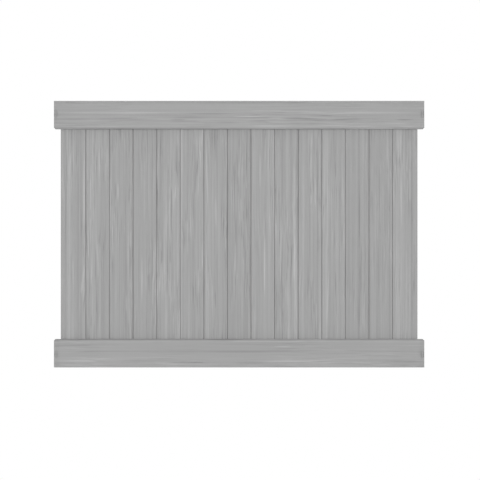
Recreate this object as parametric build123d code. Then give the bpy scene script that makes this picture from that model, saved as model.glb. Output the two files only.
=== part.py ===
from build123d import *
import os

# Vinyl privacy fence panel. Millimetres, +X along the panel, +Y to the back, +Z up.
# The origin is on the ground plane, at the middle of the bottom rail's underside.

# Infill boards
BOARD_COUNT = 15
BOARD_FACE = 152.4
BOARD_THICKNESS = 22.225
BOARD_WALL = 1.5
BOARD_RIB = 1.2
BOARD_CELLS = 5
SEAM_BEVEL = 3.2
SEAM_ROUND = 0.8
JOINT_GAP = 0.5
VISIBLE_HEIGHT = 1358.9

# Tongue and groove
TONGUE_THICKNESS = 8.0
TONGUE_LENGTH = 6.35
TONGUE_LEAD = 0.8
GROOVE_SIDE_CLEARANCE = 0.3
GROOVE_TIP_CLEARANCE = 0.9

# Rail extrusion
RAIL_THICKNESS = 50.8
RAIL_HEIGHT = 184.15
RAIL_WALL = 2.5
RAIL_WEB = 2.0
RAIL_CORNER = 3.2
LIP_CORNER = 6.35
CHAMBER_CORNER = 1.0
POCKET_DEPTH = 38.1
POCKET_WALL = 2.0
POCKET_SIDE_CLEARANCE = 0.5
POCKET_LIP_ROUND = 0.9
RAIL_INSERT = 44.45
RAIL_END_CUT = 10.5

# How the boards sit between the rails
BOARD_SEAT = 0.3
EXPANSION_ROOM = 6.35

# Locking tabs lanced in the rail ends
TAB_WIDTH = 12.0
TAB_HEIGHT = 50.0
TAB_RISE = 12.0
TAB_PROUD = 3.0
TAB_SLIT = 1.0
TAB_FROM_END = 13.2
TAB_ABOVE_WEB = 2.0
TAB_STAGGER = 5.0

# Drain holes through the bottom rail
DRAIN_COUNT = 4
DRAIN_RADIUS = 4.0
DRAIN_FROM_END = 300.0

# End channels
CHANNEL_WALL = 1.8
CHANNEL_FLANGE = 31.75
CHANNEL_BEND = 0.6
CHANNEL_CLEARANCE = 0.3
CHANNEL_SEAT = 0.3
TONGUE_ROOM = 1.85
GROOVE_ROOM = 6.6

# Screw holes in the end channels
SCREW_RADIUS = 2.4
SCREW_FROM_END = 76.2
SCREW_COUNT = 4

# Steel stiffener in the bottom rail
STIFFENER_GAUGE = 1.2
STIFFENER_HEIGHT = 50.8
STIFFENER_BEND = 1.5
STIFFENER_CLEARANCE = 0.3
STIFFENER_HEADROOM = 1.7
STIFFENER_SETBACK = 9.5

# Worked out from the sizes above
BOARD_PITCH = BOARD_FACE + JOINT_GAP
BOARD_ROW = BOARD_COUNT * BOARD_PITCH - JOINT_GAP
CLEAR_SPAN = BOARD_ROW + TONGUE_LENGTH + TONGUE_ROOM + GROOVE_ROOM + 2 * CHANNEL_WALL
RAIL_LENGTH = CLEAR_SPAN + 2 * RAIL_INSERT
PANEL_HEIGHT = VISIBLE_HEIGHT + 2 * RAIL_HEIGHT
POCKET_WIDTH = BOARD_THICKNESS + 2 * POCKET_SIDE_CLEARANCE
POCKET_FLOOR = RAIL_HEIGHT - POCKET_DEPTH
GROOVE_DEPTH = TONGUE_LENGTH - JOINT_GAP + GROOVE_TIP_CLEARANCE
STIFFENER_TOP = RAIL_WALL + CHAMBER_CORNER + STIFFENER_HEIGHT
MIDDLE_WEB_HEIGHT = STIFFENER_TOP + STIFFENER_HEADROOM
CUT_THROUGH = 2 * RAIL_THICKNESS


def drain_places():
    """X of each drain hole, evenly spread between the two end ones."""
    first = -RAIL_LENGTH / 2 + DRAIN_FROM_END
    pitch = -2 * first / (DRAIN_COUNT - 1)
    return [first + i * pitch for i in range(DRAIN_COUNT)]


def drilled(part, top):
    """The part with the drain holes drilled down through it from a height above the ground."""
    for x in drain_places():
        drill = Cylinder(DRAIN_RADIUS, top, align=(Align.CENTER, Align.CENTER, Align.MIN))
        part -= Pos(x, 0, 0) * drill
    return part


def u_section(width, depth, wall, bend):
    """A bent U with its web along the local X axis and its legs pointing down the local Y axis."""
    outer = Rectangle(width, depth, align=(Align.CENTER, Align.MAX))
    outer = fillet(outer.vertices().group_by(Axis.Y)[-1], bend + wall)
    inner = Rectangle(width - 2 * wall, depth, align=(Align.CENTER, Align.MAX))
    inner = fillet(inner.vertices().group_by(Axis.Y)[-1], bend)
    return outer - Pos(0, -wall) * inner


# Boards
def board_outline():
    """Outside of a board: bevelled edges, a tongue on the left and a groove on the right."""
    half, face = BOARD_THICKNESS / 2, BOARD_FACE / 2
    body = chamfer(Rectangle(BOARD_FACE, BOARD_THICKNESS).vertices(), SEAM_BEVEL)
    flat_ends = body.vertices().filter_by(lambda v: abs(v.Y) > half - SEAM_BEVEL / 2)
    body = fillet(flat_ends, SEAM_ROUND)
    tongue = Rectangle(TONGUE_LENGTH + SEAM_BEVEL, TONGUE_THICKNESS, align=(Align.MIN, Align.CENTER))
    tongue = chamfer(tongue.vertices().group_by(Axis.X)[0], TONGUE_LEAD)
    groove_width = TONGUE_THICKNESS + 2 * GROOVE_SIDE_CLEARANCE
    groove = Rectangle(GROOVE_DEPTH, groove_width, align=(Align.MAX, Align.CENTER))
    return body + Pos(-face - TONGUE_LENGTH, 0) * tongue - Pos(face, 0) * groove


def board_section():
    """The hollow extrusion: an even wall all round, with ribs between its cells."""
    outline = board_outline()
    hollow = offset(outline, -BOARD_WALL, kind=Kind.INTERSECTION)
    left = -BOARD_FACE / 2
    right = BOARD_FACE / 2 - GROOVE_DEPTH
    cell = (right - left - BOARD_WALL) / BOARD_CELLS
    for i in range(BOARD_CELLS):
        thickness = BOARD_WALL if i == 0 else BOARD_RIB
        rib = Rectangle(thickness, BOARD_THICKNESS, align=(Align.MIN, Align.CENTER))
        hollow -= Pos(left + i * cell, 0) * rib
    return outline - hollow


def boards():
    """The row of boards, each locked to the next by its tongue."""
    length = VISIBLE_HEIGHT + 2 * POCKET_DEPTH - BOARD_SEAT - EXPANSION_ROOM
    board = extrude(board_section(), amount=length)
    first = -CLEAR_SPAN / 2 + CHANNEL_WALL + TONGUE_ROOM + TONGUE_LENGTH + BOARD_FACE / 2
    foot = POCKET_FLOOR + BOARD_SEAT
    return {f"board_{i + 1:02d}": Pos(first + i * BOARD_PITCH, 0, foot) * board for i in range(BOARD_COUNT)}


# Rails
def chamber(width, low, high, middle=0.0):
    """One hollow cell of the rail, between two heights."""
    return Pos(middle, (low + high) / 2) * RectangleRounded(width, high - low, CHAMBER_CORNER)


def rail_section():
    """The multi-chamber rail: a board pocket in one edge, two slim cells beside it and two wide cells."""
    outline = Pos(0, RAIL_HEIGHT / 2) * Rectangle(RAIL_THICKNESS, RAIL_HEIGHT)
    outline = fillet(outline.vertices().group_by(Axis.Y)[0], RAIL_CORNER)
    outline = fillet(outline.vertices().group_by(Axis.Y)[-1], LIP_CORNER)
    pocket = Pos(0, POCKET_FLOOR) * Rectangle(POCKET_WIDTH, POCKET_DEPTH, align=(Align.CENTER, Align.MIN))
    section = outline - pocket
    mouth = section.vertices().group_by(Axis.Y)[-1].sort_by(lambda v: abs(v.X))[:2]
    section = fillet(mouth, POCKET_LIP_ROUND)
    wide = RAIL_THICKNESS - 2 * RAIL_WALL
    slim = (wide - POCKET_WIDTH) / 2 - POCKET_WALL
    section -= chamber(wide, RAIL_WALL, MIDDLE_WEB_HEIGHT)
    section -= chamber(wide, MIDDLE_WEB_HEIGHT + RAIL_WEB, POCKET_FLOOR - RAIL_WEB)
    # The slim cells follow the rounded lips, so that the wall stays even.
    inside = offset(outline, -RAIL_WALL)
    for side in (-1, 1):
        middle = side * (POCKET_WIDTH / 2 + POCKET_WALL + slim / 2)
        section -= chamber(slim, POCKET_FLOOR, RAIL_HEIGHT - RAIL_WALL, middle) & inside
    return section


def end_cut(end):
    """The 45 degree cut across a rail end's inner corner."""
    corner = (end * RAIL_LENGTH / 2, RAIL_HEIGHT)
    along = (corner[0] - end * RAIL_END_CUT, RAIL_HEIGHT)
    down = (corner[0], RAIL_HEIGHT - RAIL_END_CUT)
    wedge = make_face(Polyline(corner, along, down, close=True))
    return extrude(Plane.XZ * wedge, amount=CUT_THROUGH / 2, both=True)


def tab_place(end, side):
    """X of a tab's middle and Z of its foot. The back's tabs are staggered, so that no two weaken one line."""
    stagger = TAB_STAGGER if side > 0 else 0.0
    middle = end * (RAIL_LENGTH / 2 - TAB_FROM_END - stagger)
    return middle, MIDDLE_WEB_HEIGHT + RAIL_WEB + TAB_ABOVE_WEB + stagger


def tab_window(end, side):
    """The opening in the rail's side wall that leaves a slit along both sides of the tab."""
    middle, foot = tab_place(end, side)
    align = (Align.CENTER, Align.MIN if side > 0 else Align.MAX, Align.MIN)
    window = Box(TAB_WIDTH + 2 * TAB_SLIT, RAIL_WALL, TAB_HEIGHT, align=align)
    return Pos(middle, side * (RAIL_THICKNESS / 2 - RAIL_WALL), foot) * window


def tab_strip(end, side):
    """The tab itself: a strip of the wall, cut free along both sides and pressed outwards to catch in the post."""
    middle, foot = tab_place(end, side)
    head = foot + TAB_HEIGHT
    face = side * RAIL_THICKNESS / 2
    inside = side * (RAIL_THICKNESS / 2 - RAIL_WALL)
    lift = side * TAB_PROUD
    outer = [(face, foot), (face + lift, foot + TAB_RISE), (face + lift, head - TAB_RISE), (face, head)]
    inner = [(inside, head), (inside + lift, head - TAB_RISE), (inside + lift, foot + TAB_RISE), (inside, foot)]
    strip = Plane.YZ * make_face(Polyline(*outer, *inner, close=True))
    return Pos(middle, 0, 0) * extrude(strip, amount=TAB_WIDTH / 2, both=True)


def rail():
    """A rail with its pocket facing up, as the bottom one lies."""
    body = extrude(Plane.YZ * rail_section(), amount=RAIL_LENGTH / 2, both=True)
    for end in (-1, 1):
        body -= end_cut(end)
        for side in (-1, 1):
            body -= tab_window(end, side)
            body += tab_strip(end, side)
    return body


def top_rail():
    """The same rail turned over, so that its pocket faces down."""
    return Pos(0, 0, PANEL_HEIGHT) * mirror(rail(), about=Plane.XY)


def bottom_rail():
    """The rail with drain holes from its pocket floor down through its underside."""
    return drilled(rail(), POCKET_FLOOR + RAIL_WALL)


def bottom_rail_stiffener():
    """The folded steel channel that lies in the bottom rail's lower chamber, with its legs down."""
    width = RAIL_THICKNESS - 2 * RAIL_WALL - 2 * STIFFENER_CLEARANCE
    section = u_section(width, STIFFENER_HEIGHT, STIFFENER_GAUGE, STIFFENER_BEND)
    half = RAIL_LENGTH / 2 - STIFFENER_SETBACK
    channel = extrude(Plane.YZ * section, amount=half, both=True)
    return drilled(Pos(0, 0, STIFFENER_TOP) * channel, STIFFENER_TOP + STIFFENER_GAUGE)


# End channels
def end_channel(end):
    """The U channel that closes one end of the boards and is screwed to the post through its web."""
    width = BOARD_THICKNESS + 2 * (CHANNEL_CLEARANCE + CHANNEL_WALL)
    section = Rot(0, 0, -90 * end) * u_section(width, CHANNEL_FLANGE, CHANNEL_WALL, CHANNEL_BEND)
    length = VISIBLE_HEIGHT - 2 * CHANNEL_SEAT
    channel = Pos(end * CLEAR_SPAN / 2, 0, RAIL_HEIGHT + CHANNEL_SEAT) * extrude(section, amount=length)
    lowest = RAIL_HEIGHT + CHANNEL_SEAT + SCREW_FROM_END
    spacing = (length - 2 * SCREW_FROM_END) / (SCREW_COUNT - 1)
    for i in range(SCREW_COUNT):
        hole = Rot(0, 90, 0) * Cylinder(SCREW_RADIUS, 4 * CHANNEL_WALL)
        channel -= Pos(end * CLEAR_SPAN / 2, 0, lowest + i * spacing) * hole
    return channel


def panel():
    """Every piece of the panel under its own name."""
    return {
        "bottom_rail": bottom_rail(),
        "top_rail": top_rail(),
        "bottom_rail_stiffener": bottom_rail_stiffener(),
        "left_end_channel": end_channel(-1),
        "right_end_channel": end_channel(1),
        **boards(),
    }


os.makedirs("parts", exist_ok=True)
for name, piece in panel().items():
    export_step(piece, f"parts/{name}.step")
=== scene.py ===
"""Looks of a grey vinyl privacy fence panel, dressed around its fixed CAD frame.

The rails, boards, end channels and stiffener keep their CAD shapes, and this script gives each its finish:
wood grain streaked through and embossed in rigid vinyl, sawn ends, painted shade along the joints, in the
seams and in the tab slits, painted light towards the boards' foot, and spangled zinc on the steel. Everything
is in metres, with +X along the panel, +Y towards its back and +Z up.
"""

import logging
import math
from dataclasses import dataclass, replace
from enum import Enum

import bpy
import numpy as np
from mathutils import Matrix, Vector


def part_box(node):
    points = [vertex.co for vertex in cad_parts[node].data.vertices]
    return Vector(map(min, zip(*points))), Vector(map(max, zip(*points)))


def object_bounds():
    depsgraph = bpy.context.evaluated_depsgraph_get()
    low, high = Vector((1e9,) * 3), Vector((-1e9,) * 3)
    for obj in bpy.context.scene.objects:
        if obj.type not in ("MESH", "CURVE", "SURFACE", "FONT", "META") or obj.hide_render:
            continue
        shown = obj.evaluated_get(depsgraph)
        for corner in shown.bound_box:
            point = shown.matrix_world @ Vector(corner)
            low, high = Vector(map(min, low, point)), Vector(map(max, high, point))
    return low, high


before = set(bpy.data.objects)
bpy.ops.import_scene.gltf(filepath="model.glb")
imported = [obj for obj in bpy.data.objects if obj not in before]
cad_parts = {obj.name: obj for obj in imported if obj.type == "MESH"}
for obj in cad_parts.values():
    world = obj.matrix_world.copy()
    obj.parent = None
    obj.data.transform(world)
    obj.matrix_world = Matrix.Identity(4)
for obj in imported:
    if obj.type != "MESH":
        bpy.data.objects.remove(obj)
CAD_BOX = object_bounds()

log = logging.getLogger("fence_panel")
Socket = bpy.types.NodeSocket
Sockets = bpy.types.bpy_prop_collection
Value = float | tuple[float, ...] | Socket
Point = tuple[float, float, float]

MM = 0.001

# How far the panel reaches to each side, how high it is, and half of that
PANEL_REACH = CAD_BOX[1][0]
PANEL_HEIGHT = CAD_BOX[1][2]
MIDDLE_HEIGHT = PANEL_HEIGHT / 2

# How much light the plain vinyl of the boards and rails sends back
VINYL_GREY = 0.356

# The picture: its width in pixels, the size of a pixel on the panel, and the X and Z of its middle
PICTURE_WIDTH = 480
PIXEL = 6.4808 * MM
SIGHT = (5.7 * MM, 825.7 * MM)

# Widths of streaks, the last of which takes in any piece from side to side
HAIR = 10.0 * MM
FINE = 13.0 * MM
MEDIUM = 22.0 * MM
BROAD = 60.0 * MM
WIDE = 90.0 * MM
WHOLE = 600.0 * MM

# Lengths of streaks whose points lie far beyond a board or a rail, and of a swell that hardly fades at all
PAST_A_BOARD = 1.75 * PANEL_HEIGHT
PAST_A_RAIL = 3.5
ENDLESS = 8.0

# Locking tabs: from the rail's end and from its outer edge to a tab's middle, and from there to its slits
TAB_FROM_END = 13.15 * MM
TAB_FROM_EDGE = 85.0 * MM
SLIT_FROM_MIDDLE = 6.5 * MM

# Painted shade in a slit, where the rail's inside lies in shade: how high and how wide it spreads, and how
# much it darkens the vinyl
SLIT_SHADE_HEIGHT = 66.0 * MM
SLIT_SHADE_WIDTH = 9.0 * MM
SLIT_PAINTED_SHADE = 0.22


class GrainRun(Enum):
    """Which way a piece was extruded, so which way its grain runs: the axes across, through and along it."""

    ALONG_X = (2, 1, 0)
    ALONG_Z = (0, 1, 2)


class Graph:
    """Adds nodes to one node tree and links them."""

    def __init__(self, tree: bpy.types.NodeTree) -> None:
        """Starts from an empty tree.

        Args:
            tree: the material's or group's tree, which is cleared.
        """
        self.tree = tree
        tree.nodes.clear()

    def feed(self, target: Socket, value: Value) -> None:
        """Links a socket to an input, or writes a plain number or colour on it.

        Args:
            target: the input socket.
            value: what it gets.
        """
        if isinstance(value, Socket):
            self.tree.links.new(value, target)
        else:
            target.default_value = value

    def add(
        self, kind: str, inputs: dict[str | int, Value] | None = None, **settings: object
    ) -> bpy.types.Node:
        """Adds one node.

        Args:
            kind: the node's type, without the ShaderNode in front.
            inputs: values or links by input name or number.
            settings: the node's own properties.

        Returns:
            The new node.
        """
        node = self.tree.nodes.new(f"ShaderNode{kind}")
        for name, value in settings.items():
            setattr(node, name, value)
        for name, value in (inputs or {}).items():
            self.feed(node.inputs[name], value)
        return node

    def math(self, operation: str, *values: Value, clamp: bool = False) -> Socket:
        """A Math node's result.

        Args:
            operation: such as ADD or MULTIPLY.
            values: its one to three inputs.
            clamp: whether the result is kept between 0 and 1.

        Returns:
            The result's socket.
        """
        return self.add("Math", dict(enumerate(values)), operation=operation, use_clamp=clamp).outputs[0]

    def vector(self, operation: str, *values: Value) -> Socket:
        """A Vector Math node's vector result.

        Args:
            operation: such as ADD or MULTIPLY.
            values: its inputs.

        Returns:
            The result's socket.
        """
        return self.add("VectorMath", dict(enumerate(values)), operation=operation).outputs["Vector"]

    def split(self, vector: Socket) -> list[Socket]:
        """The three numbers of a vector."""
        return list(self.add("SeparateXYZ", {0: vector}).outputs)

    def join(self, x: Value, y: Value, z: Value) -> Socket:
        """A vector, or a colour, from three numbers."""
        return self.add("CombineXYZ", {0: x, 1: y, 2: z}).outputs[0]

    def ramp(self, value: Value, low: float, high: float, start: float = 0.0, end: float = 1.0) -> Socket:
        """A smooth step from start, where value is low, to end, where it is high. Low may lie above high."""
        inputs = {"Value": value, "From Min": low, "From Max": high, "To Min": start, "To Max": end}
        return self.add("MapRange", inputs, interpolation_type="SMOOTHSTEP").outputs["Result"]

    def noise(self, vector: Socket, across: float, along: float, detail: float = 1.0) -> Socket:
        """Noise that spreads about 0.

        Args:
            vector: the point, across, through and along the piece.
            across: how many cells a metre holds across and through the piece.
            along: how many it holds along the piece.
            detail: how many finer layers lie on the cells.

        Returns:
            The noise's socket.
        """
        scaled = self.vector("MULTIPLY", vector, (across, across, along))
        inputs = {"Vector": scaled, "Scale": 1.0, "Detail": detail, "Roughness": 0.55}
        return self.math("SUBTRACT", self.add("TexNoise", inputs).outputs[0], 0.5)

    def weighted(self, layers: list[tuple[Value, Value]], start: Value = 0.0) -> Socket:
        """The sum of value times weight over all the layers, on top of start.

        Args:
            layers: each value with its weight.
            start: what the sum begins with.

        Returns:
            The sum's socket.
        """
        for value, weight in layers:
            start = self.math("MULTIPLY_ADD", value, weight, start)
        return start

    def grey(self, factor: Value, dark: float, light: float) -> Socket:
        """A neutral colour that goes from dark to light with the factor."""
        level = self.add("MapRange", {"Value": factor, "To Min": dark, "To Max": light}).outputs["Result"]
        return self.join(level, level, level)


class NodeGroup:
    """A shared effect with named inputs and outputs, built once."""

    name = ""
    inputs: dict[str, float | Point] = {}
    outputs: tuple[str, ...] = ()

    def __init__(self) -> None:
        """Makes the group's sockets, then its inner nodes."""
        self.tree = bpy.data.node_groups.new(self.name, "ShaderNodeTree")
        for label, default in self.inputs.items():
            kind = "NodeSocketVector" if isinstance(default, tuple) else "NodeSocketFloat"
            socket = self.tree.interface.new_socket(name=label, in_out="INPUT", socket_type=kind)
            socket.default_value = default
        for label in self.outputs:
            self.tree.interface.new_socket(name=label, in_out="OUTPUT", socket_type="NodeSocketFloat")
        graph = Graph(self.tree)
        results = self.build(graph, self.tree.nodes.new("NodeGroupInput").outputs)
        final = self.tree.nodes.new("NodeGroupOutput").inputs
        for label, socket in results.items():
            graph.feed(final[label], socket)

    def build(self, graph: Graph, given: Sockets) -> dict[str, Socket]:
        """Adds the inner nodes. Each effect has its own.

        Args:
            graph: where the nodes go.
            given: the group's inputs.

        Returns:
            A socket for each named output.
        """
        raise NotImplementedError

    def place(self, graph: Graph, values: dict[str, Value]) -> Sockets:
        """Puts the group in a material.

        Args:
            graph: the material's graph.
            values: the group's inputs there.

        Returns:
            The group's outputs.
        """
        node = graph.add("Group", node_tree=self.tree)
        for label, value in values.items():
            graph.feed(node.inputs[label], value)
        return node.outputs


class WoodGrain(NodeGroup):
    """Streaked and embossed wood grain, in grain coordinates: X across the piece, Y through it, Z along it.

    Tone is the share by which a point is lighter or darker than the plain vinyl. It sums broad bands, long
    columns and plates, spindles that come in clusters with calm ground between them, fine fibres and pores.
    Relief is the height of the embossing. The drift is the width of the band that a streak may wander in.
    """

    name = "wood_grain"
    inputs = {"Vector": (0.0, 0.0, 0.0), "Contrast": 1.0}
    outputs = ("Tone", "Relief")
    drift = 26.0 * MM

    def drifted(self, graph: Graph, vector: Socket) -> Socket:
        """The coordinates pushed sideways by a slow noise, so that streaks drift as real grain does."""
        push = graph.math("MULTIPLY", graph.noise(vector, across=7.0, along=1.9), self.drift)
        return graph.vector("ADD", vector, graph.join(push, 0.0, 0.0))

    def spindles(self, graph: Graph, noise: Socket, calm: float, full: float) -> Socket:
        """A noise turned into separate light and dark spindles.

        Args:
            graph: where the nodes go.
            noise: spreads about 0.
            calm: what lies nearer to 0 than this is flat ground.
            full: where a spindle has its full strength.

        Returns:
            From -1 in a dark spindle to 1 in a light one.
        """
        light = graph.ramp(noise, calm, full)
        dark = graph.ramp(graph.math("MULTIPLY", noise, -1.0), calm, full)
        return graph.math("SUBTRACT", light, dark)

    def build(self, graph: Graph, given: Sockets) -> dict[str, Socket]:
        """Sums the layers of grain, from the broadest to the finest.

        Args:
            graph: where the nodes go.
            given: the group's inputs.

        Returns:
            The tone and the relief.
        """
        straight = given["Vector"]
        drifting = self.drifted(graph, straight)
        bands = graph.noise(straight, across=15.0, along=0.5)
        columns = graph.noise(straight, across=58.0, along=0.2, detail=1.5)
        plates = self.spindles(graph, graph.noise(straight, across=75.0, along=0.35), calm=0.06, full=0.10)
        streaks = self.spindles(graph, graph.noise(drifting, across=105.0, along=2.2), calm=0.09, full=0.15)
        slivers = self.spindles(graph, graph.noise(drifting, across=150.0, along=5.0), calm=0.12, full=0.18)
        fibres = graph.noise(drifting, across=330.0, along=10.0, detail=2.0)
        pores = graph.noise(drifting, across=1100.0, along=50.0)
        active = graph.ramp(graph.noise(straight, across=9.0, along=1.8), low=-0.08, high=0.10, start=0.20)
        layers = [
            (bands, 0.18),
            (columns, 0.27),
            (plates, 0.04),
            (graph.weighted([(streaks, 0.185), (slivers, 0.185)]), active),
            (fibres, 0.10),
            (pores, 0.10),
        ]
        tone = graph.math("MULTIPLY", graph.weighted(layers), given["Contrast"])
        hollows = graph.ramp(pores, low=-0.16, high=0.02)
        relief = graph.weighted([(columns, 0.5), (streaks, 0.12), (fibres, 0.9), (hollows, 0.25)], start=0.4)
        return {"Tone": tone, "Relief": relief}


class Streak(NodeGroup):
    """One long pointed streak: full on its middle line, gone at its sides and ends and under the skin."""

    name = "streak"
    inputs = {
        "Vector": (0.0, 0.0, 0.0),
        "Middle": (0.0, 0.0, 0.0),
        "Half Size": (0.005, 0.01, 0.2),
        "Lean": 0.0,
    }
    outputs = ("Mask",)

    def build(self, graph: Graph, given: Sockets) -> dict[str, Socket]:
        """Fades from the middle line out.

        With each offset as a share of the half size, what is left is 1, less the offset across, less the
        squares of the other two.

        Args:
            graph: where the nodes go.
            given: the group's inputs.

        Returns:
            The mask, which is full where seven tenths or more are left.
        """
        x, y, z = graph.split(graph.vector("SUBTRACT", given["Vector"], given["Middle"]))
        upright = graph.join(graph.math("SUBTRACT", x, graph.math("MULTIPLY", z, given["Lean"])), y, z)
        x, y, z = graph.split(graph.vector("ABSOLUTE", graph.vector("DIVIDE", upright, given["Half Size"])))
        left = graph.math("SUBTRACT", graph.math("SUBTRACT", 1.0, graph.math("MULTIPLY", z, z)), x)
        left = graph.math("SUBTRACT", left, graph.math("MULTIPLY", y, y))
        return {"Mask": graph.ramp(left, low=0.0, high=0.7)}


class JointPaintedShade(NodeGroup):
    """Painted shade along a level joint between the boards and a rail, where the joint lies in shade."""

    name = "joint_painted_shade"
    inputs = {"Height": 0.0, "Joint": 0.0, "Reach": 0.05}
    outputs = ("Mask",)

    def build(self, graph: Graph, given: Sockets) -> dict[str, Socket]:
        """Fades with the square of what is left of the reach.

        Args:
            graph: where the nodes go.
            given: the group's inputs.

        Returns:
            The mask: the square of 1 less the distance to the joint as a share of the reach. It is 0 beyond
            the reach.
        """
        gap = graph.math("ABSOLUTE", graph.math("SUBTRACT", given["Height"], given["Joint"]))
        left = graph.math("SUBTRACT", 1.0, graph.math("DIVIDE", gap, given["Reach"]), clamp=True)
        return {"Mask": graph.math("MULTIPLY", left, left)}


class SawnEnds(NodeGroup):
    """Where a piece was sawn to length: its end faces, and the fine lines that the blade left on them."""

    name = "sawn_ends"
    inputs = {"Vector": (0.0, 0.0, 0.0), "Facing": 0.0}
    outputs = ("Mask", "Marks")

    def build(self, graph: Graph, given: Sockets) -> dict[str, Socket]:
        """Finds the ends, and draws fine lines through the cut.

        Args:
            graph: where the nodes go.
            given: the group's inputs.

        Returns:
            The mask, which is on where the surface looks along the grain, and the marks inside it.
        """
        mask = graph.ramp(graph.math("ABSOLUTE", given["Facing"]), low=0.6, high=0.7)
        # Fine across the piece, drawn out through it, and the same all along it
        lines = graph.vector("MULTIPLY", given["Vector"], (1.0, 0.08, 0.0))
        marks = graph.math("ADD", graph.noise(lines, across=1400.0, along=1.0, detail=2.0), 0.5)
        return {"Mask": mask, "Marks": graph.math("MULTIPLY", mask, marks)}


class ZincSpangle(NodeGroup):
    """The crystals of galvanised steel: flat cells of slightly different brightness under a soft haze."""

    name = "zinc_spangle"
    inputs = {"Vector": (0.0, 0.0, 0.0), "Cells": 140.0}
    outputs = ("Tone", "Relief")

    def build(self, graph: Graph, given: Sockets) -> dict[str, Socket]:
        """Grows the crystals.

        Args:
            graph: where the nodes go.
            given: the group's inputs.

        Returns:
            The tone, from cell colours and haze, and the relief, from the distance to each cell's middle.
        """
        inputs = {"Vector": given["Vector"], "Scale": given["Cells"], "Randomness": 0.9}
        cells = graph.add("TexVoronoi", inputs).outputs
        crystal = graph.split(cells["Color"])[0]
        haze = graph.noise(given["Vector"], across=60.0, along=60.0, detail=3.0)
        tone = graph.weighted([(crystal, 0.6), (haze, 0.5)], start=0.2)
        return {"Tone": tone, "Relief": cells["Distance"]}


@dataclass(frozen=True)
class Accent:
    """A streak on a piece's front that stands out from its grain, or a stretch where the grain swells.

    Args:
        across: where its middle is across the piece: the panel's X on a board, the height on a rail.
        along: where its middle is along the piece: the height on a board, the panel's X on a rail.
        width: where it is widest.
        length: from point to point.
        tone: what a streak adds to the grain's tone, or a swell to the grain's contrast.
        lean: how far it drifts across for each metre along.
    """

    across: float
    along: float
    width: float
    length: float
    tone: float
    lean: float = 0.0


@dataclass(frozen=True)
class Look:
    """What tells one piece from others of its kind.

    Args:
        lift: the share by which it is paler than plain vinyl, or darker if negative; the boards' own tone, and
            on the rails painted light and shade that even out the light from top to foot.
        accents: its standout streaks.
        swells: where its grain is stronger, or calmer where negative.
        offset: the stretch of grain that it shows.
    """

    lift: float = 0.0
    accents: tuple[Accent, ...] = ()
    swells: tuple[Accent, ...] = ()
    offset: Point = (0.0, 0.0, 0.0)


@dataclass(frozen=True)
class Surface:
    """What the material of one piece is worked out from.

    Args:
        graph: the material's graph.
        groups: the shared effects.
        node: the piece.
        place: the point, as its X, Y and Z.
        normal: which way the surface looks there, as X, Y and Z.
        grain: the point across, through and along the piece.
    """

    graph: Graph
    groups: dict[str, NodeGroup]
    node: str
    place: list[Socket]
    normal: list[Socket]
    grain: Socket

    def effect(self, kind: type[NodeGroup], values: dict[str, Value]) -> Sockets:
        """Puts one of the shared effects in the material, and gives its outputs."""
        return self.groups[kind.name].place(self.graph, values)


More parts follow.
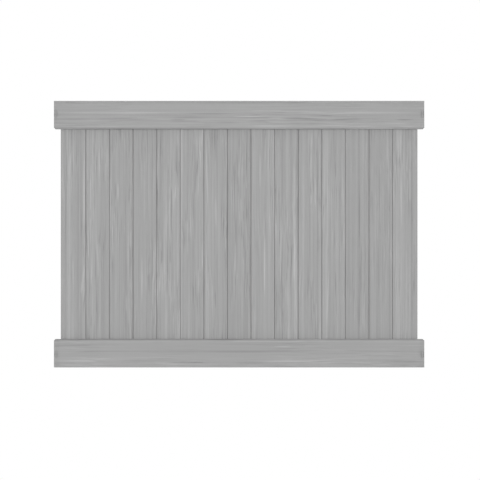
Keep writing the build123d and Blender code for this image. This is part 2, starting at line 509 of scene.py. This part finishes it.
@dataclass(frozen=True)
class VinylFinish:
    """Grey rigid vinyl with wood grain.

    Args:
        grey: how much light the plain vinyl sends back.
        run: which way the grain runs.
        contrast: strength of the grain's colour.
        emboss: how deep the grain is pressed in.
        edge: how far the piece's edges are rounded in the light.
        roughness: of the vinyl where the grain is at half its height.
        grain_roughness: how much rougher the raised grain is than the hollows.
        sawn_grey: the paler grey of the sawn ends.
        sawn_marks: the share by which the saw's marks vary that grey, from the darkest to the palest.
        sawn_depth: how deep the marks are, as a share of the embossing.
        sawn_roughness: how much rougher the sawn ends are.
        rim: what lies less than this from the piece's two outer edges is outer skin too.
        plain: the share of the grain's colour that is left inside the piece.
        depth: how far in from the front a standout streak can be seen.
        painted_shade_reach: how far the painted shade spreads from the joints with the rails.
        low_painted_shade: how much painted shade darkens the vinyl at the low joint.
        high_painted_shade: the same at the high joint, under the top rail.
        seam_painted_shade: the same at the bottom of the seams, where the grooves lie in shade.
        seam_depth: how deep the seams are.
        foot_painted_light: painted light: the share by which the vinyl is painted paler for each metre down,
            against the dimmer light near the floor.
    """

    grey: float
    run: GrainRun
    contrast: float = 1.0
    emboss: float = 0.25 * MM
    edge: float = 0.5 * MM
    roughness: float = 0.50
    grain_roughness: float = 0.16
    sawn_grey: float = 0.40
    sawn_marks: float = 0.12
    sawn_depth: float = 0.5
    sawn_roughness: float = 0.2
    rim: float = 1.2 * MM
    plain: float = 0.25
    depth: float = 12.0 * MM
    # Painted shade along the joints with the rails: how far it reaches and how dark it is at each joint
    painted_shade_reach: float = 110.0 * MM
    low_painted_shade: float = 0.06
    high_painted_shade: float = 0.08
    seam_painted_shade: float = 0.0
    seam_depth: float = 3.2 * MM
    # Painted light towards the foot
    foot_painted_light: float = 0.0

    def outer_skin(self, on: Surface) -> Socket:
        """Where the embossing rollers reach: on the outer skin, and not in a cell or the pocket.

        Args:
            on: the piece's surface.

        Returns:
            1 on the front, the back and the two outer edges, and 0 inside.
        """
        graph, (low, high) = on.graph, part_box(on.node)
        across, through, _ = self.run.value
        middle = (low[through] + high[through]) / 2
        side = graph.math("SIGN", graph.math("SUBTRACT", on.place[through], middle))
        faces = graph.ramp(graph.math("MULTIPLY", on.normal[through], side), low=0.2, high=0.5)
        half = (high[across] - low[across]) / 2
        reach = graph.math("ABSOLUTE", graph.math("SUBTRACT", on.place[across], low[across] + half))
        edges = graph.ramp(reach, low=half - self.rim, high=half - self.rim / 2)
        return graph.math("MAXIMUM", faces, edges)

    def streaked(self, on: Surface, base: Value, spots: tuple[Accent, ...]) -> Value:
        """Adds streaks or swells on the piece's front to a value.

        Args:
            on: the piece's surface.
            base: the value without them.
            spots: the streaks or swells.

        Returns:
            The value with them.
        """
        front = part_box(on.node)[0][1]
        for spot in spots:
            values = {
                "Vector": on.grain,
                "Middle": (spot.across, front, spot.along),
                "Half Size": (spot.width / 2, self.depth, spot.length / 2),
                "Lean": spot.lean,
            }
            base = on.graph.math("MULTIPLY_ADD", on.effect(Streak, values)["Mask"], spot.tone, base)
        return base

    def painted_light_and_shade(self, on: Surface, tone: Socket) -> Socket:
        """Paints shade into the tone along the joints with the rails and in the seams, and paints light into
        it towards the foot.

        Args:
            on: the piece's surface.
            tone: the tone without the painted light and shade.

        Returns:
            The tone with the painted light and shade.
        """
        graph, (_, through, height) = on.graph, on.place
        # Painted shade on both sides of each joint with a rail, where the joint lies in shade
        joints = ((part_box("bottom_rail")[1][2], self.low_painted_shade), (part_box("top_rail")[0][2], self.high_painted_shade))
        for joint, share in joints:
            spot = {"Height": height, "Joint": joint, "Reach": self.painted_shade_reach}
            tone = graph.math("MULTIPLY_ADD", on.effect(JointPaintedShade, spot)["Mask"], -share, tone)
        # Painted light: paler towards the foot, against the dimmer light near the floor
        drop = graph.math("SUBTRACT", MIDDLE_HEIGHT, height)
        tone = graph.math("MULTIPLY_ADD", drop, self.foot_painted_light, tone)
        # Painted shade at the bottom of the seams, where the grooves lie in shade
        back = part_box(on.node)[1][1]
        reach = graph.math("ABSOLUTE", through)
        recess = graph.ramp(reach, low=back - self.seam_depth / 4, high=back - self.seam_depth)
        return graph.math("MULTIPLY_ADD", recess, -self.seam_painted_shade, tone)

    def shade(self, graph: Graph, face: Socket, relief: Socket, sawn: Sockets) -> None:
        """Adds the shader, with the sawn ends, the roughness and the embossing.

        Args:
            graph: the material's graph.
            face: the grey of the extruded faces.
            relief: the height of the grain.
            sawn: where the piece was sawn, and the marks there.
        """
        swing = self.sawn_marks * self.sawn_grey
        cut = graph.math("MULTIPLY_ADD", sawn["Marks"], swing, self.sawn_grey - swing / 2)
        grey = graph.add("Mix", {"Factor": sawn["Mask"], 2: face, 3: cut}, data_type="FLOAT").outputs[0]
        layers = [(relief, self.grain_roughness), (sawn["Mask"], self.sawn_roughness)]
        height = graph.math("MULTIPLY_ADD", sawn["Marks"], self.sawn_depth, relief)
        edge = graph.add("Bevel", {"Radius": self.edge}, samples=4).outputs[0]
        embossing = {"Strength": 1.0, "Distance": self.emboss, "Height": height, "Normal": edge}
        values = {
            "Base Color": graph.join(grey, grey, grey),
            "Roughness": graph.weighted(layers, start=self.roughness - self.grain_roughness / 2),
            "Normal": graph.add("Bump", embossing).outputs["Normal"],
            "IOR": 1.5,
            "Specular IOR Level": 0.4,
        }
        shader = graph.add("BsdfPrincipled", values)
        graph.add("OutputMaterial", {"Surface": shader.outputs[0]})

    def material(self, node: str, groups: dict[str, NodeGroup], look: Look) -> bpy.types.Material:
        """Builds the material of one piece.

        Args:
            node: the piece.
            groups: the shared effects.
            look: what tells it from others.

        Returns:
            The material.
        """
        made = bpy.data.materials.new(f"{node}_vinyl")
        made.use_nodes = True
        graph = Graph(made.node_tree)
        source = graph.add("TexCoord").outputs
        place, normal = graph.split(source["Object"]), graph.split(source["Normal"])
        turned = graph.join(*(place[axis] for axis in self.run.value))
        on = Surface(graph, groups, node, place, normal, turned)
        shift = {"Vector": turned, "Location": look.offset}
        moved = graph.add("Mapping", shift, vector_type="POINT").outputs["Vector"]
        skin = self.outer_skin(on)
        contrast = self.streaked(on, self.contrast, look.swells)
        grain = on.effect(WoodGrain, {"Vector": moved, "Contrast": contrast})
        tone = self.streaked(on, grain["Tone"], look.accents)
        tone = graph.math("MULTIPLY", tone, graph.math("MULTIPLY_ADD", skin, 1.0 - self.plain, self.plain))
        # Painted shade at the joints and in the seams, and painted light towards the foot
        tone = self.painted_light_and_shade(on, tone)
        middle = self.grey * (1.0 + look.lift)
        face = graph.math("MULTIPLY_ADD", tone, middle, middle)
        relief = graph.math("MULTIPLY", grain["Relief"], skin)
        sawn = on.effect(SawnEnds, {"Vector": moved, "Facing": normal[self.run.value[2]]})
        self.shade(graph, face, relief, sawn)
        return made


@dataclass(frozen=True)
class ZincFinish:
    """Galvanised sheet steel.

    Args:
        dark: the darkest crystal's grey.
        light: the palest crystal's grey.
        roughness: of the darkest crystal.
        polish: how much smoother the palest crystal is.
        relief: how far the crystals stand out.
    """

    dark: float = 0.42
    light: float = 0.62
    roughness: float = 0.42
    polish: float = 0.16
    relief: float = 0.1 * MM

    def material(self, node: str, groups: dict[str, NodeGroup]) -> bpy.types.Material:
        """Builds the material.

        Args:
            node: the piece.
            groups: the shared effects.

        Returns:
            The material.
        """
        made = bpy.data.materials.new(f"{node}_zinc")
        made.use_nodes = True
        graph = Graph(made.node_tree)
        vector = graph.add("TexCoord").outputs["Object"]
        spangle = groups[ZincSpangle.name].place(graph, {"Vector": vector})
        crystals = {"Strength": 0.4, "Distance": self.relief, "Height": spangle["Relief"]}
        values = {
            "Base Color": graph.grey(spangle["Tone"], self.dark, self.light),
            "Metallic": 1.0,
            "Roughness": graph.math("MULTIPLY_ADD", spangle["Tone"], -self.polish, self.roughness),
            "Normal": graph.add("Bump", crystals).outputs["Normal"],
        }
        shader = graph.add("BsdfPrincipled", values)
        graph.add("OutputMaterial", {"Surface": shader.outputs[0]})
        return made


def put_on(node: str, material: bpy.types.Material) -> None:
    """Gives a CAD node its finish, and reports it.

    Args:
        node: the node's name.
        material: what it is dressed in.
    """
    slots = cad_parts[node].data.materials
    slots.clear()
    slots.append(material)
    log.info("%s is dressed in %s", node, material.name)


@dataclass
class BoardRow:
    """The row of tongue-and-groove boards.

    Args:
        finish: the vinyl that all of them share.
        boards: the boards from left to right.
        seed: which stretch of grain each board gets.
        shift: the most that a board's grain is moved from the first stretch.
    """

    finish: VinylFinish
    boards: tuple[Look, ...]
    seed: int = 7
    shift: float = 40.0

    def dress(self, groups: dict[str, NodeGroup]) -> None:
        """Gives each board its own stretch of grain, its tone and its streaks.

        Args:
            groups: the shared effects.
        """
        offsets = np.random.default_rng(self.seed).uniform(0.0, self.shift, (len(self.boards), 3))
        for number, (look, offset) in enumerate(zip(self.boards, offsets.tolist()), start=1):
            node = f"board_{number:02d}"
            put_on(node, self.finish.material(node, groups, replace(look, offset=tuple(offset))))


@dataclass
class Rails:
    """The two pocket rails, and the stiffener inside the bottom one.

    Args:
        finish: the rails' vinyl.
        steel: the stiffener's zinc.
        looks: what tells the rails apart.
    """

    finish: VinylFinish
    steel: ZincFinish
    looks: dict[str, Look]

    def dress(self, groups: dict[str, NodeGroup]) -> None:
        """Gives both rails and the stiffener their finishes.

        Args:
            groups: the shared effects.
        """
        for node, look in self.looks.items():
            put_on(node, self.finish.material(node, groups, look))
        put_on("bottom_rail_stiffener", self.steel.material("bottom_rail_stiffener", groups))


@dataclass
class EndChannels:
    """The U channels that close the row of boards.

    Args:
        finish: their vinyl.
        looks: what tells the channels apart.
    """

    finish: VinylFinish
    looks: dict[str, Look]

    def dress(self, groups: dict[str, NodeGroup]) -> None:
        """Gives both channels their finish."""
        for node, look in self.looks.items():
            put_on(node, self.finish.material(node, groups, look))


@dataclass(frozen=True)
class Softbox:
    """One large soft lamp.

    Args:
        name: the lamp's name.
        place: where it hangs.
        size: its width and height.
        key: the light that it gives the panel, where 1 alone would make white of white.
    """

    name: str
    place: Point
    size: tuple[float, float]
    key: float

    def hang(self, target: Point) -> None:
        """Makes the lamp. With P watts at a distance d, it gives the panel the light P / (pi d)^2.

        Args:
            target: the point that it is turned towards.
        """
        data = bpy.data.lights.new(self.name, "AREA")
        data.shape = "RECTANGLE"
        data.size, data.size_y = self.size
        aim = Vector(target) - Vector(self.place)
        data.energy = self.key * (math.pi * aim.length) ** 2
        lamp = bpy.data.objects.new(self.name, data)
        lamp.location = self.place
        lamp.rotation_euler = aim.to_track_quat("-Z", "Y").to_euler()
        bpy.context.scene.collection.objects.link(lamp)


@dataclass
class Studio:
    """Camera, floor and lights, none of them part of the panel.

    Args:
        frame_width: how wide a stretch of the scene fills the picture.
        sight: the point in the middle of the picture, in X and Z.
        stand_off: how far in front of the panel the camera stands.
        fill: strength of the even light from all round.
        softboxes: the lamps in front of the panel and behind it.
        floor_radius: of the round floor.
        floor_grey: the floor's own paleness.
        floor_mottle: how far its mottling goes from that, up and down.
        floor_gap: how far the floor lies under the panel.
        fade: how far out the floor starts to turn to the white of the backdrop, and where it is all white.
    """

    frame_width: float
    sight: tuple[float, float]
    stand_off: float = 9.0
    fill: float = 0.62
    softboxes: tuple[Softbox, ...] = (
        Softbox("front_softbox", place=(-1.5, -14.0, 1.6), size=(9.0, 6.0), key=0.47),
        Softbox("rear_softbox", place=(2.5, 13.0, 4.0), size=(8.0, 5.0), key=0.38),
    )
    floor_radius: float = 16.0
    floor_grey: float = 0.88
    floor_mottle: float = 0.02
    floor_gap: float = 0.2 * MM
    fade: tuple[float, float] = (3.0, 9.0)

    def camera(self) -> None:
        """Looks straight at the front without perspective."""
        data = bpy.data.cameras.new("front_camera")
        data.type = "ORTHO"
        data.ortho_scale = self.frame_width
        camera = bpy.data.objects.new("front_camera", data)
        camera.location = (self.sight[0], -self.stand_off, self.sight[1])
        camera.rotation_euler = (math.pi / 2, 0.0, 0.0)
        bpy.context.scene.collection.objects.link(camera)
        bpy.context.scene.camera = camera

    def seen(self, graph: Graph) -> Socket:
        """Tells which rays show the background itself.

        Args:
            graph: the material's or the world's graph.

        Returns:
            1 for rays straight from the camera, by gloss or through glass.
        """
        rays = graph.add("LightPath").outputs
        straight = graph.math("MAXIMUM", rays["Is Camera Ray"], rays["Is Glossy Ray"])
        return graph.math("MAXIMUM", straight, rays["Is Transmission Ray"])

    def floor_material(self) -> bpy.types.Material:
        """Builds the pale mottled floor, which turns to plain white far out.

        Returns:
            The material.
        """
        made = bpy.data.materials.new("pale_floor")
        made.use_nodes = True
        graph = Graph(made.node_tree)
        place = graph.add("TexCoord").outputs["Object"]
        mottling = graph.math("ADD", graph.noise(place, across=40.0, along=40.0, detail=3.0), 0.5)
        low, high = self.floor_grey - self.floor_mottle, self.floor_grey + self.floor_mottle
        matt = graph.add("BsdfDiffuse", {"Color": graph.grey(mottling, low, high)})
        white = graph.add("Emission", {"Color": (1.0, 1.0, 1.0, 1.0), "Strength": 1.0})
        distance = graph.add("VectorMath", {0: place}, operation="LENGTH").outputs["Value"]
        share = graph.math("MULTIPLY", self.seen(graph), graph.ramp(distance, *self.fade))
        both = graph.add("MixShader", {0: share, 1: matt.outputs[0], 2: white.outputs[0]})
        graph.add("OutputMaterial", {"Surface": both.outputs[0]})
        return made

    def floor(self) -> None:
        """A round floor in rings of growing radius: x is the radius times the cosine, y times the sine."""
        rings, spokes = 8, 96
        radius = self.floor_radius * np.linspace(0.0, 1.0, rings + 1)[1:, None]
        angle = np.linspace(0.0, 2 * np.pi, spokes, endpoint=False)[None, :]
        level = np.full((rings, spokes), -self.floor_gap)
        flat = np.stack([radius * np.cos(angle), radius * np.sin(angle), level], -1)
        points = np.concatenate([[[0.0, 0.0, -self.floor_gap]], flat.reshape(-1, 3)])
        ring = 1 + np.arange(rings - 1)[:, None] * spokes
        here = np.arange(spokes)[None, :]
        after = (here + 1) % spokes
        corners = [ring + here, ring + spokes + here, ring + spokes + after, ring + after]
        quads = np.stack(corners, -1).reshape(-1, 4)
        fan = np.stack([np.zeros(spokes, int), 1 + here[0], 1 + after[0]], -1)
        mesh = bpy.data.meshes.new("floor")
        mesh.from_pydata(points.tolist(), [], fan.tolist() + quads.tolist())
        mesh.materials.append(self.floor_material())
        floor = bpy.data.objects.new("floor", mesh)
        bpy.context.scene.collection.objects.link(floor)

    def world(self) -> None:
        """Even light all round, which the camera, mirrors and glass see as plain white."""
        world = bpy.data.worlds.new("studio")
        world.use_nodes = True
        bpy.context.scene.world = world
        graph = Graph(world.node_tree)
        fill = graph.add("Background", {"Color": (1.0, 1.0, 1.0, 1.0), "Strength": self.fill})
        white = graph.add("Background", {"Color": (1.0, 1.0, 1.0, 1.0), "Strength": 1.0})
        both = graph.add("MixShader", {0: self.seen(graph), 1: fill.outputs[0], 2: white.outputs[0]})
        graph.add("OutputWorld", {"Surface": both.outputs[0]})

    def build(self) -> None:
        """Sets up the whole studio."""
        self.camera()
        self.floor()
        self.world()
        for softbox in self.softboxes:
            softbox.hang((0.0, 0.0, self.sight[1]))
        bpy.context.scene.view_settings.view_transform = "Standard"


def stripe(across: float, width: float, tone: float) -> Accent:
    """A streak down a whole board. Its points, where it would fade, lie far beyond the board."""
    return Accent(across, MIDDLE_HEIGHT, width, PAST_A_BOARD, tone)


def line(height: float, width: float, tone: float) -> Accent:
    """A streak along a whole rail. Its points, where it would fade, lie far beyond the rail."""
    return Accent(height, 0.0, width, PAST_A_RAIL, tone)


def stretch(across: float, along: float, length: float, gain: float) -> Accent:
    """A stretch of a piece, from side to side, with stronger or calmer grain or a paler or darker tone."""
    return Accent(across, along, WHOLE, length, gain)


def middle_height(node: str) -> float:
    """How high the middle of a piece is."""
    low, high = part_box(node)
    return (low[2] + high[2]) / 2


def board_looks() -> tuple[Look, ...]:
    """The tone and the streaks that tell the boards apart.

    Returns:
        The looks of the boards from left to right.
    """
    return (
        Look(
            lift=0.005,
            accents=(
                Accent(-1.125, 1.02, FINE, 0.85, -0.33),
                Accent(-1.005, 1.15, FINE, 0.70, 0.25),
                stripe(-1.100, MEDIUM, 0.07),
                stripe(-1.035, BROAD, -0.05),
            ),
            swells=(stretch(-1.07, 1.15, 0.7, 0.2), stretch(-1.07, 0.40, 0.6, 0.35)),
        ),
        Look(
            lift=0.025,
            accents=(
                stripe(-0.950, MEDIUM, 0.07),
                stripe(-0.880, BROAD, -0.05),
            ),
        ),
        Look(
            lift=-0.03,
            accents=(
                Accent(-0.785, 1.14, FINE, 0.15, 0.25),
                Accent(-0.800, 1.14, FINE, 0.15, -0.17),
                Accent(-0.825, 0.78, FINE, 0.35, 0.16, lean=0.035),
                Accent(-0.735, 0.68, MEDIUM, 0.95, -0.06),
            ),
        ),
        Look(
            lift=-0.015,
            accents=(
                Accent(-0.630, 0.57, FINE, 0.40, 0.25),
                Accent(-0.630, 1.41, FINE, 0.25, -0.16),
                stripe(-0.545, FINE, -0.09),
            ),
            swells=(stretch(-0.61, 1.30, 1.2, -0.4),),
        ),
        Look(
            lift=0.03,
            accents=(
                Accent(-0.430, 1.25, MEDIUM, 0.70, 0.09),
                Accent(-0.400, 0.71, FINE, 1.20, 0.09),
                stripe(-0.505, BROAD, -0.07),
            ),
            swells=(stretch(-0.46, 1.25, 0.6, 0.5), stretch(-0.46, 0.40, 0.7, 0.5)),
        ),
        Look(
            lift=0.03,
            accents=(
                Accent(-0.315, 0.97, FINE, 0.45, 0.17),
                # Painted highlight beside the seam, where the groove's edge catches light
                stripe(-0.375, HAIR, 0.09),
                stripe(-0.280, MEDIUM, 0.05),
                stripe(-0.340, BROAD, -0.03),
            ),
            swells=(stretch(-0.31, 0.85, 3.0, 0.4),),
        ),
        Look(
            lift=-0.04,
            accents=(
                Accent(-0.210, 1.27, FINE, 0.65, 0.25, lean=-0.035),
                Accent(-0.150, 1.00, MEDIUM, 0.25, 0.15, lean=-0.025),
                Accent(-0.155, 0.44, FINE, 0.15, -0.20),
                stripe(-0.205, BROAD, 0.06),
            ),
            swells=(stretch(-0.15, 1.15, 0.9, 0.5),),
        ),
        Look(
            lift=-0.035,
            accents=(
                Accent(-0.020, 0.87, FINE, 0.35, -0.14),
                Accent(-0.025, 0.70, FINE, 0.30, 0.14),
                stripe(0.020, MEDIUM, 0.08),
                stripe(0.065, HAIR, 0.09),
            ),
        ),
        Look(
            lift=0.035,
            accents=(
                Accent(0.165, 0.66, FINE, 0.50, 0.31),
                Accent(0.135, 1.28, FINE, 0.30, 0.20),
            ),
            swells=(stretch(0.15, 0.85, 3.0, -0.3),),
        ),
        Look(
            lift=-0.015,
            accents=(
                Accent(0.360, 0.65, FINE, 0.50, 0.12),
                stripe(0.315, BROAD, 0.04),
                stripe(0.365, MEDIUM, 0.08),
                stripe(0.280, MEDIUM, -0.05),
            ),
            swells=(stretch(0.31, 1.05, 0.7, 0.3),),
        ),
        Look(
            lift=-0.01,
            accents=(
                Accent(0.465, 1.29, FINE, 0.30, 0.25),
                Accent(0.465, 1.09, FINE, 0.10, 0.17),
                Accent(0.395, 0.76, MEDIUM, 0.80, 0.08),
                stripe(0.435, BROAD, -0.04),
            ),
            swells=(stretch(0.46, 1.50, 0.5, -0.35), stretch(0.46, 0.95, 0.6, 0.4)),
        ),
        Look(
            lift=0.005,
            accents=(
                Accent(0.555, 1.09, FINE, 0.55, 0.20),
                Accent(0.575, 0.46, FINE, 0.45, 0.22, lean=0.04),
                Accent(0.625, 1.28, FINE, 0.15, -0.17),
                Accent(0.625, 0.54, FINE, 0.20, -0.17),
                stripe(0.560, BROAD, 0.07),
            ),
            swells=(stretch(0.61, 1.45, 0.7, -0.6),),
        ),
        Look(
            lift=-0.01,
            accents=(
                Accent(0.780, 0.99, FINE, 0.40, -0.16),
                stripe(0.775, MEDIUM, -0.11),
            ),
            swells=(stretch(0.76, 0.35, 0.6, -0.35), stretch(0.76, 1.20, 0.8, -0.25)),
        ),
        Look(
            lift=-0.01,
            accents=(
                stripe(0.975, FINE, -0.08),
            ),
            swells=(stretch(0.92, 1.10, 1.3, -0.35),),
        ),
        Look(
            lift=0.03,
            accents=(
                Accent(1.050, 1.12, FINE, 0.50, 0.21),
                stripe(1.050, MEDIUM, 0.08),
                stripe(1.125, BROAD, -0.07),
            ),
            swells=(stretch(1.07, 0.50, 0.9, 0.4),),
        ),
    )


def board_row() -> BoardRow:
    """The row of boards, with painted light that makes them paler towards the foot and painted shade in the
    seams.

    Returns:
        The row.
    """
    finish = VinylFinish(
        grey=VINYL_GREY,
        run=GrainRun.ALONG_Z,
        contrast=0.96,
        # Painted light towards the foot and painted shade in the seams
        foot_painted_light=0.045,
        seam_painted_shade=0.13,
    )
    return BoardRow(finish, board_looks())


def tab_slits(height: float) -> list[Accent]:
    """Painted shade in the slits along both sides of the locking tabs at a rail's two ends, where the rail's
    inside lies in shade.

    Args:
        height: of the middle of the tabs.

    Returns:
        An accent for each slit.
    """
    tab = PANEL_REACH - TAB_FROM_END
    places = [end * x for end in (-1.0, 1.0) for x in (tab - SLIT_FROM_MIDDLE, tab + SLIT_FROM_MIDDLE)]
    # Painted shade for each slit
    return [Accent(height, x, SLIT_SHADE_HEIGHT, SLIT_SHADE_WIDTH, -SLIT_PAINTED_SHADE) for x in places]


def top_rail_look() -> Look:
    """The top rail's streaks. Its grain is calm in the upper part and livelier towards the boards.

    Returns:
        The rail's look.
    """
    middle = middle_height("top_rail")
    return Look(
        # Painted shade: a little darker, as the top rail gets more light than the rest
        lift=-0.02,
        accents=(
            Accent(1.650, -0.80, MEDIUM, 0.95, 0.15),
            Accent(1.650, 0.75, MEDIUM, 1.05, 0.15),
            Accent(1.645, -0.18, FINE, 0.45, -0.16),
            Accent(1.610, -1.10, MEDIUM, 0.40, -0.13),
            Accent(1.605, -0.70, MEDIUM, 0.45, -0.11),
            Accent(1.605, -0.40, FINE, 0.15, -0.22),
            Accent(1.625, 0.06, FINE, 0.25, 0.20),
            Accent(1.615, 0.24, FINE, 0.15, 0.18),
            Accent(1.615, 0.40, FINE, 0.30, -0.12),
            Accent(1.600, 0.42, FINE, 0.35, -0.10),
            Accent(1.605, 0.72, MEDIUM, 0.35, -0.05),
            Accent(1.605, 1.07, FINE, 0.15, -0.22),
            Accent(1.580, 0.38, HAIR, 0.50, -0.10),
            Accent(1.580, -1.10, HAIR, 0.30, -0.09),
            Accent(1.565, 0.20, FINE, 0.35, 0.16),
            Accent(1.715, 0.10, MEDIUM, 1.20, -0.07),
            Accent(1.590, -0.26, FINE, 0.35, 0.10),
            Accent(1.590, 0.11, FINE, 0.35, 0.13),
            Accent(1.612, -0.18, FINE, 0.35, 0.09),
            Accent(1.608, 0.12, MEDIUM, 0.25, 0.08),
            Accent(1.605, 0.54, FINE, 0.25, 0.09),
            # Painted shade on the rounded top edge, which catches light from above
            line(1.718, MEDIUM, -0.03),
            line(1.562, MEDIUM, 0.05),
            # Painted shade along the lower lip, over the joint with the boards
            line(1.548, HAIR, -0.15),
            stretch(middle, -1.20, 1.10, -0.03),
            stretch(middle, -1.20, 0.05, -0.04),
            stretch(middle, 0.13, 0.60, 0.025),
            stretch(middle, 0.90, 0.50, 0.025),
            # Painted shade in the tab slits
            *tab_slits(PANEL_HEIGHT - TAB_FROM_EDGE),
        ),
        swells=(Accent(1.685, 0.0, width=WIDE, length=ENDLESS, tone=-0.45),),
        offset=(3.0, 1.0, 5.0),
    )


def bottom_rail_look() -> Look:
    """The bottom rail's streaks. Its grain is calm but for its lower edge, and its ends are darker.

    Returns:
        The rail's look.
    """
    middle = middle_height("bottom_rail")
    return Look(
        # Painted light: paler, as the bottom rail gets less light near the floor
        lift=0.08,
        accents=(
            line(0.105, MEDIUM, -0.11),
            Accent(0.100, 0.0, MEDIUM, 0.60, -0.09),
            Accent(0.105, -0.95, FINE, 0.60, -0.06),
            Accent(0.150, 0.15, MEDIUM, 0.90, -0.06),
            Accent(0.150, -1.00, MEDIUM, 0.70, -0.06),
            Accent(0.135, 0.28, HAIR, 0.15, 0.20),
            Accent(0.040, -1.05, MEDIUM, 0.35, 0.20),
            Accent(0.040, 0.32, FINE, 0.50, 0.25),
            Accent(0.030, 0.52, FINE, 0.30, 0.18),
            Accent(0.035, -0.88, FINE, 0.30, 0.12),
            Accent(0.015, 0.58, MEDIUM, 0.60, 0.06),
            Accent(0.074, 0.32, MEDIUM, 0.30, 0.07),
            Accent(0.062, -0.55, MEDIUM, 0.40, 0.06),
            Accent(0.048, -0.27, FINE, 0.30, -0.08),
            Accent(0.100, -1.02, FINE, 0.25, -0.08),
            Accent(0.045, -0.55, MEDIUM, 0.60, -0.12),
            Accent(0.045, 0.92, MEDIUM, 0.60, -0.10),
            Accent(0.030, 0.07, MEDIUM, 0.25, -0.10),
            Accent(0.045, -0.80, WIDE, 1.30, 0.035),
            Accent(0.045, 0.65, WIDE, 1.20, 0.035),
            line(0.135, WIDE, -0.025),
            stretch(middle, -1.20, 0.80, -0.035),
            stretch(middle, 1.20, 0.60, -0.035),
            stretch(middle, -1.20, 0.10, -0.04),
            stretch(middle, 1.20, 0.10, -0.06),
            # Painted shade in the tab slits
            *tab_slits(TAB_FROM_EDGE),
        ),
        swells=(Accent(0.115, 0.0, width=0.17, length=ENDLESS, tone=-0.4),),
        offset=(9.0, 4.0, 2.0),
    )


def rails() -> Rails:
    """Both rails and the stiffener. Painted shade darkens a narrow line along their joints with the boards.

    Returns:
        The rails.
    """
    finish = VinylFinish(
        grey=VINYL_GREY,
        run=GrainRun.ALONG_X,
        contrast=0.8,
        # Painted shade in a narrow line along the joints with the boards
        painted_shade_reach=22.0 * MM,
        low_painted_shade=0.38,
        high_painted_shade=0.16,
    )
    return Rails(finish, ZincFinish(), {"top_rail": top_rail_look(), "bottom_rail": bottom_rail_look()})


def end_channels() -> EndChannels:
    """Both end channels, of a vinyl a little darker than the boards'.

    Returns:
        The channels.
    """
    finish = VinylFinish(grey=0.350, run=GrainRun.ALONG_Z, contrast=0.8)
    left, right = Look(offset=(1.0, 2.0, 3.0)), Look(offset=(5.0, 2.0, 8.0))
    return EndChannels(finish, {"left_end_channel": left, "right_end_channel": right})


def main() -> None:
    """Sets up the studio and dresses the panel."""
    logging.basicConfig(level=logging.INFO, format="%(name)s: %(message)s")
    groups = {group.name: group() for group in (WoodGrain, Streak, JointPaintedShade, SawnEnds, ZincSpangle)}
    Studio(frame_width=PICTURE_WIDTH * PIXEL, sight=SIGHT).build()
    for assembly in (board_row(), rails(), end_channels()):
        assembly.dress(groups)


if __name__ == "__main__":
    main()
